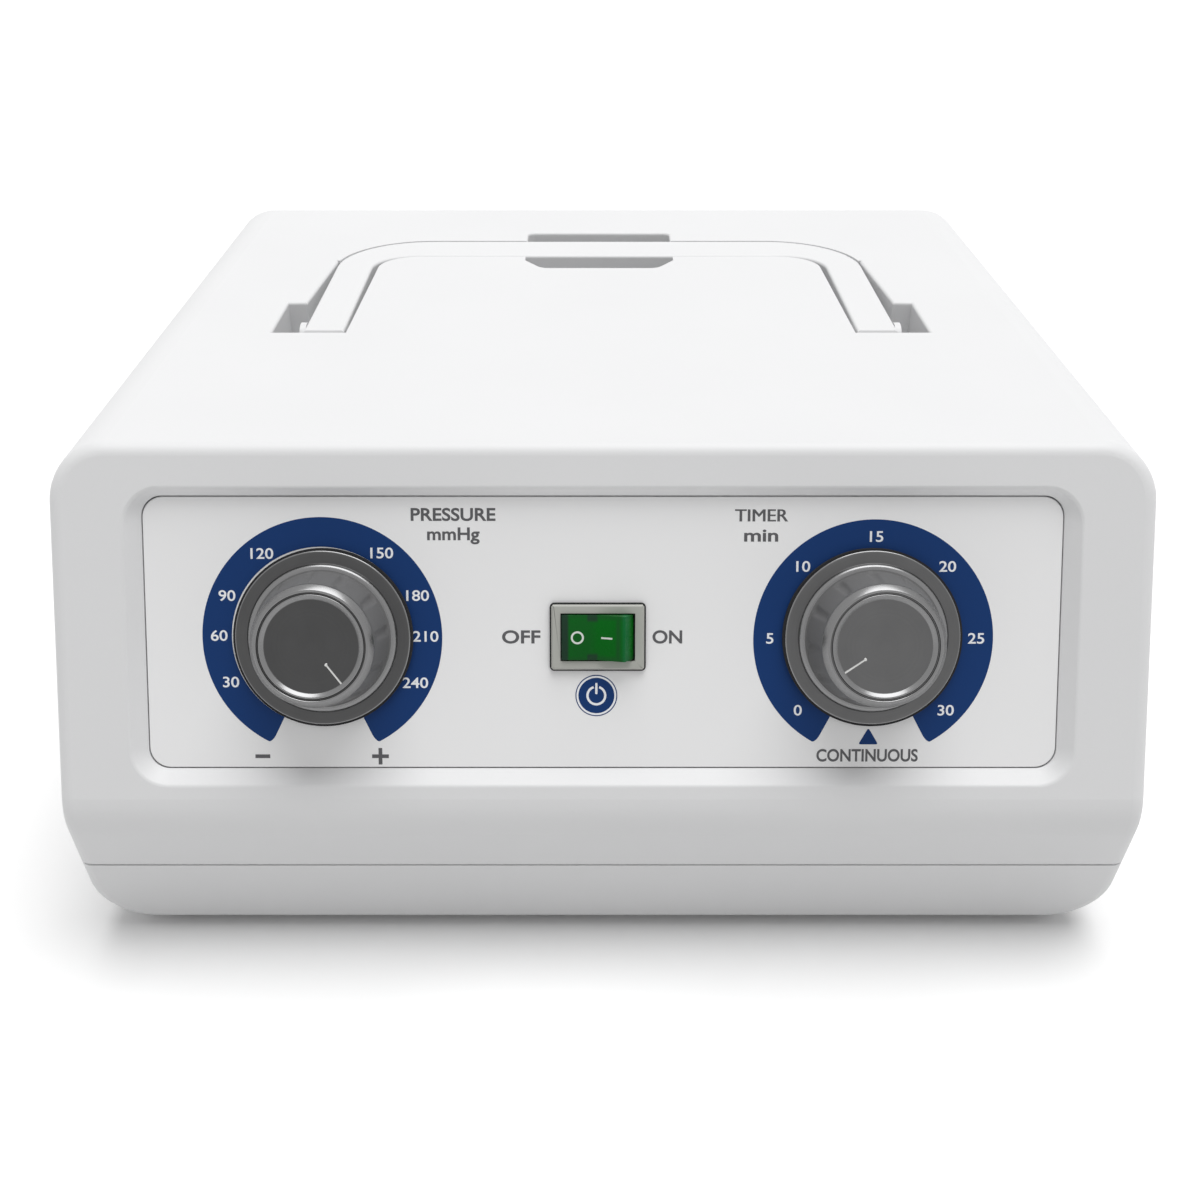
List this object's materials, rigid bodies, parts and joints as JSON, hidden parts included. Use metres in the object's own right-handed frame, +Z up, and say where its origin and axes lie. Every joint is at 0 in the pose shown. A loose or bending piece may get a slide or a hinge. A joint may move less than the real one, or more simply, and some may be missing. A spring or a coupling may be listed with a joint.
{
  "type": "compression therapy pump",
  "caption": "Table-top air pump for compression sleeves: leaning control face with dials and a rocker switch, fold-flat carry handle, hose outlets at the back.",
  "frame": {"origin": "on the table under the middle of the whole outline", "axes": "+X to the right of someone facing the controls, +Y from the controls to the back, +Z up"},
  "size_m": [0.24, 0.2352, 0.1165],
  "materials": {
    "shell": "fine satin moulded plastic",
    "handle_plastic": "satin moulded plastic",
    "panel_plastic": "satin moulded plastic",
    "overlay_film": "printed matt film",
    "knob_metal": "grey satin turned metal",
    "knob_cap": "grey satin turned metal",
    "spindle_brass": "turned",
    "contact_metal": "nickel plated",
    "regulator_metal": "turned",
    "black_plastic": "black moulded plastic",
    "bezel_plastic": "warm grey moulded plastic",
    "rocker_green": "deep green tinted, glossy",
    "rear_plastic": "pale grey moulded plastic",
    "screw_steel": "zinc plated",
    "foot_rubber": "soft black rubber",
    "fuse_glass": "clear glass",
    "white_nylon": "natural moulded plastic",
    "foam": "open-cell foam",
    "cast_alloy": "die-cast alloy",
    "core_steel": "laminated steel",
    "coil_copper": "enamelled copper wire",
    "magnet_metal": "plated magnet",
    "diaphragm_rubber": "moulded rubber",
    "motor_steel": "zinc plated can",
    "rotor_plastic": "filled plastic",
    "tube_rubber": "pale silicone",
    "board_green": "varnished circuit board",
    "terminal_plastic": "moulded plastic"
  },
  "bodies": {
    "housing": {"upper_housing": "shell", "lower_housing": "shell", "rubber_feet": "foot_rubber", "housing_screws": "screw_steel", "handle_pins": "screw_steel", "control_panel": "panel_plastic", "panel_overlay": "overlay_film", "regulator_body": "regulator_metal", "bush_nuts": "contact_metal", "timer_body": "black_plastic", "switch_body": "bezel_plastic", "switch_tabs": "contact_metal", "rear_panel": "rear_plastic", "rear_panel_screws": "screw_steel", "mains_inlet": "black_plastic", "inlet_contacts": "contact_metal", "inlet_screws": "screw_steel", "filter_box": "white_nylon", "filter_foam": "foam", "outlet_socket_left": "white_nylon", "outlet_socket_right": "white_nylon", "air_manifold": "white_nylon", "pump_frame": "cast_alloy", "pump_cores": "core_steel", "pump_coils": "coil_copper", "pump_diaphragms": "diaphragm_rubber", "pump_head_left": "cast_alloy", "pump_head_right": "cast_alloy", "pump_mounts": "foot_rubber", "pump_screws": "screw_steel", "distributor_motor": "motor_steel", "distributor_body": "white_nylon", "distributor_cover": "white_nylon", "chamber_tubes": "tube_rubber", "intake_tube": "tube_rubber", "cross_tube": "tube_rubber", "supply_tube": "tube_rubber", "regulated_tube": "tube_rubber", "control_board": "board_green", "board_screws": "screw_steel", "board_transformer": "core_steel", "board_capacitors": "black_plastic", "board_relay": "black_plastic", "board_terminals": "terminal_plastic"},
    "handle": {"carry_handle": "handle_plastic"},
    "pressure_dial": {"pressure_knob": "knob_metal", "pressure_knob_cap": "knob_cap", "regulator_spindle": "spindle_brass"},
    "timer_dial": {"timer_knob": "knob_metal", "timer_knob_cap": "knob_cap", "timer_spindle": "spindle_brass"},
    "rocker": {"switch_rocker": "rocker_green"},
    "fuse_tray": {"fuse_drawer": "black_plastic", "fuse": "fuse_glass"},
    "air_filter_cover": {"filter_cover": "rear_plastic"},
    "armature": {"pump_armature": "core_steel", "pump_magnets": "magnet_metal"},
    "rotor": {"distributor_rotor": "rotor_plastic"}
  },
  "joints": [
    {"name": "handle_hinge", "type": "hinge", "parent": "housing", "child": "handle", "pos_m": [0, -0.00299, 0.112], "axis": [1, 0, 0], "range_deg": [0, 105]},
    {"name": "pressure_turn", "type": "hinge", "parent": "housing", "child": "pressure_dial", "pos_m": [-0.061, -0.09833, 0.07701], "axis": [0, -0.9205, 0.3907], "range_deg": [-8, 292]},
    {"name": "timer_turn", "type": "hinge", "parent": "housing", "child": "timer_dial", "pos_m": [0.0588, -0.09833, 0.07701], "axis": [0, -0.9205, 0.3907], "range_deg": [-259, 56]},
    {"name": "rocker_tilt", "type": "hinge", "parent": "housing", "child": "rocker", "pos_m": [-0.0011, -0.09737, 0.07671], "axis": [0, 0.3907, 0.9205], "range_deg": [0, 22]},
    {"name": "fuse_slide", "type": "slide", "parent": "housing", "child": "fuse_tray", "axis": [0, 1, 0], "range_m": [0, 0.014]},
    {"name": "filter_cover_slide", "type": "slide", "parent": "housing", "child": "air_filter_cover", "axis": [0, 1, 0], "range_m": [0, 0.012]},
    {"name": "armature_slide", "type": "slide", "parent": "housing", "child": "armature", "axis": [1, 0, 0], "range_m": [-0.0015, 0.0015], "stiffness_N_per_m": 4000},
    {"name": "rotor_turn", "type": "hinge", "parent": "housing", "child": "rotor", "pos_m": [0.056, 0.024, 0], "axis": [0, 0, 1], "continuous": true}
  ]
}
